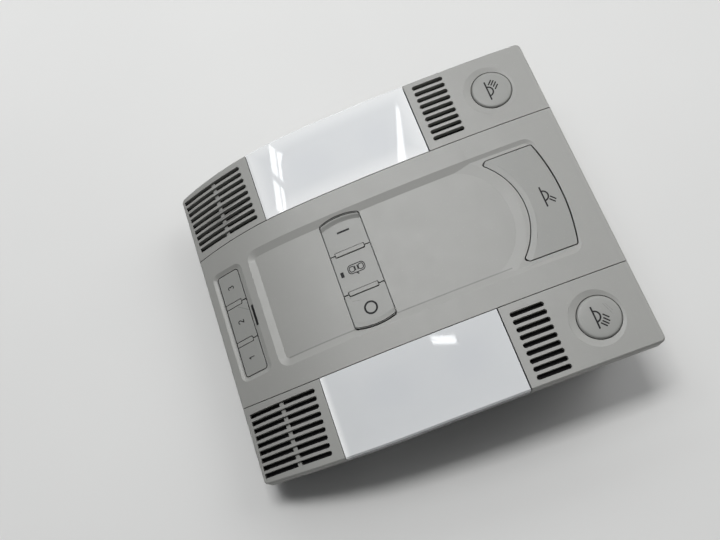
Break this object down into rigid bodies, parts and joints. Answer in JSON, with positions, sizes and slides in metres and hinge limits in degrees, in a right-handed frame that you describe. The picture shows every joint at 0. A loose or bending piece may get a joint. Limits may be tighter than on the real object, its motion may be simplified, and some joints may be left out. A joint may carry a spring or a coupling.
{
  "type": "car interior light",
  "caption": "Overhead car light unit with opal lamp lenses, louvred corners, push buttons and key rows in a sunken channel, and a closed rear housing with a harness socket.",
  "frame": {"origin": "centre of the unit's outline, at the flat back of the rear housing", "axes": "+X along the unit from the nose with the numbered keys to the round buttons, +Z out of the face, away from the roof"},
  "size_m": [0.173, 0.148, 0.041],
  "materials": {
    "face_grey": "fine grained, satin",
    "key_grey": "fine grained, satin",
    "opal_lens": "glossy opal white",
    "frame_black": "moulded, matt",
    "housing_grey": "moulded, matt",
    "board_green": "solder mask",
    "switch_black": "moulded, satin",
    "plunger_white": "moulded, satin",
    "indicator_dark": "smoked window",
    "reflector_white": "glossy white",
    "bulb_glass": "clear glass",
    "spring_steel": "bright rolled strip",
    "zinc_steel": "zinc plated",
    "contact_brass": "bright"
  },
  "bodies": {
    "housing": {"nose_grille_left": "face_grey", "nose_grille_right": "face_grey", "button_panel_left": "face_grey", "button_panel_right": "face_grey", "centre_panel": "face_grey", "lens_left": "opal_lens", "lens_right": "opal_lens", "key_frame": "frame_black", "opener_frame": "frame_black", "mid_frame": "frame_black", "rear_housing": "housing_grey", "opener_cover": "housing_grey", "circuit_board": "board_green", "opener_board": "board_green", "switch_housings": "switch_black", "opener_switches": "switch_black", "connector_header": "switch_black", "bulb_socket_left": "switch_black", "bulb_socket_right": "switch_black", "opener_lamp": "indicator_dark", "reflector_left": "reflector_white", "reflector_right": "reflector_white", "dome_bulb_left": "bulb_glass", "dome_bulb_right": "bulb_glass", "reading_bulb_left": "bulb_glass", "reading_bulb_right": "bulb_glass", "retaining_clips": "spring_steel", "festoon_clips": "spring_steel", "housing_screws": "zinc_steel", "connector_pins": "contact_brass"},
    "key_on": {"key_on": "key_grey", "plunger_on": "plunger_white"},
    "key_door": {"key_door": "key_grey", "key_door_lamp": "indicator_dark", "plunger_door": "plunger_white"},
    "key_off": {"key_off": "key_grey", "plunger_off": "plunger_white"},
    "opener_key_1": {"opener_key_1": "key_grey", "plunger_opener_1": "plunger_white"},
    "opener_key_2": {"opener_key_2": "key_grey", "plunger_opener_2": "plunger_white"},
    "opener_key_3": {"opener_key_3": "key_grey", "plunger_opener_3": "plunger_white"},
    "dome_button": {"dome_button": "key_grey", "plunger_dome": "plunger_white"},
    "reading_button_left": {"reading_button_left": "key_grey", "plunger_reading_left": "plunger_white"},
    "reading_button_right": {"reading_button_right": "key_grey", "plunger_reading_right": "plunger_white"}
  },
  "joints": [
    {"name": "key_on_press", "type": "slide", "parent": "housing", "child": "key_on", "axis": [0, 0, -1], "range_m": [0, 0.001], "stiffness_N_per_m": 300, "springref_m": -0.001},
    {"name": "key_door_press", "type": "slide", "parent": "housing", "child": "key_door", "axis": [0, 0, -1], "range_m": [0, 0.001], "stiffness_N_per_m": 300, "springref_m": -0.001},
    {"name": "key_off_press", "type": "slide", "parent": "housing", "child": "key_off", "axis": [0, 0, -1], "range_m": [0, 0.001], "stiffness_N_per_m": 300, "springref_m": -0.001},
    {"name": "opener_key_1_press", "type": "slide", "parent": "housing", "child": "opener_key_1", "axis": [0, 0, -1], "range_m": [0, 0.001], "stiffness_N_per_m": 300, "springref_m": -0.001},
    {"name": "opener_key_2_press", "type": "slide", "parent": "housing", "child": "opener_key_2", "axis": [0, 0, -1], "range_m": [0, 0.001], "stiffness_N_per_m": 300, "springref_m": -0.001},
    {"name": "opener_key_3_press", "type": "slide", "parent": "housing", "child": "opener_key_3", "axis": [0, 0, -1], "range_m": [0, 0.001], "stiffness_N_per_m": 300, "springref_m": -0.001},
    {"name": "dome_button_press", "type": "slide", "parent": "housing", "child": "dome_button", "axis": [0, 0, -1], "range_m": [0, 0.001], "stiffness_N_per_m": 300, "springref_m": -0.001},
    {"name": "reading_button_left_press", "type": "slide", "parent": "housing", "child": "reading_button_left", "axis": [0, 0, -1], "range_m": [0, 0.001], "stiffness_N_per_m": 300, "springref_m": -0.001},
    {"name": "reading_button_right_press", "type": "slide", "parent": "housing", "child": "reading_button_right", "axis": [0, 0, -1], "range_m": [0, 0.001], "stiffness_N_per_m": 300, "springref_m": -0.001}
  ]
}
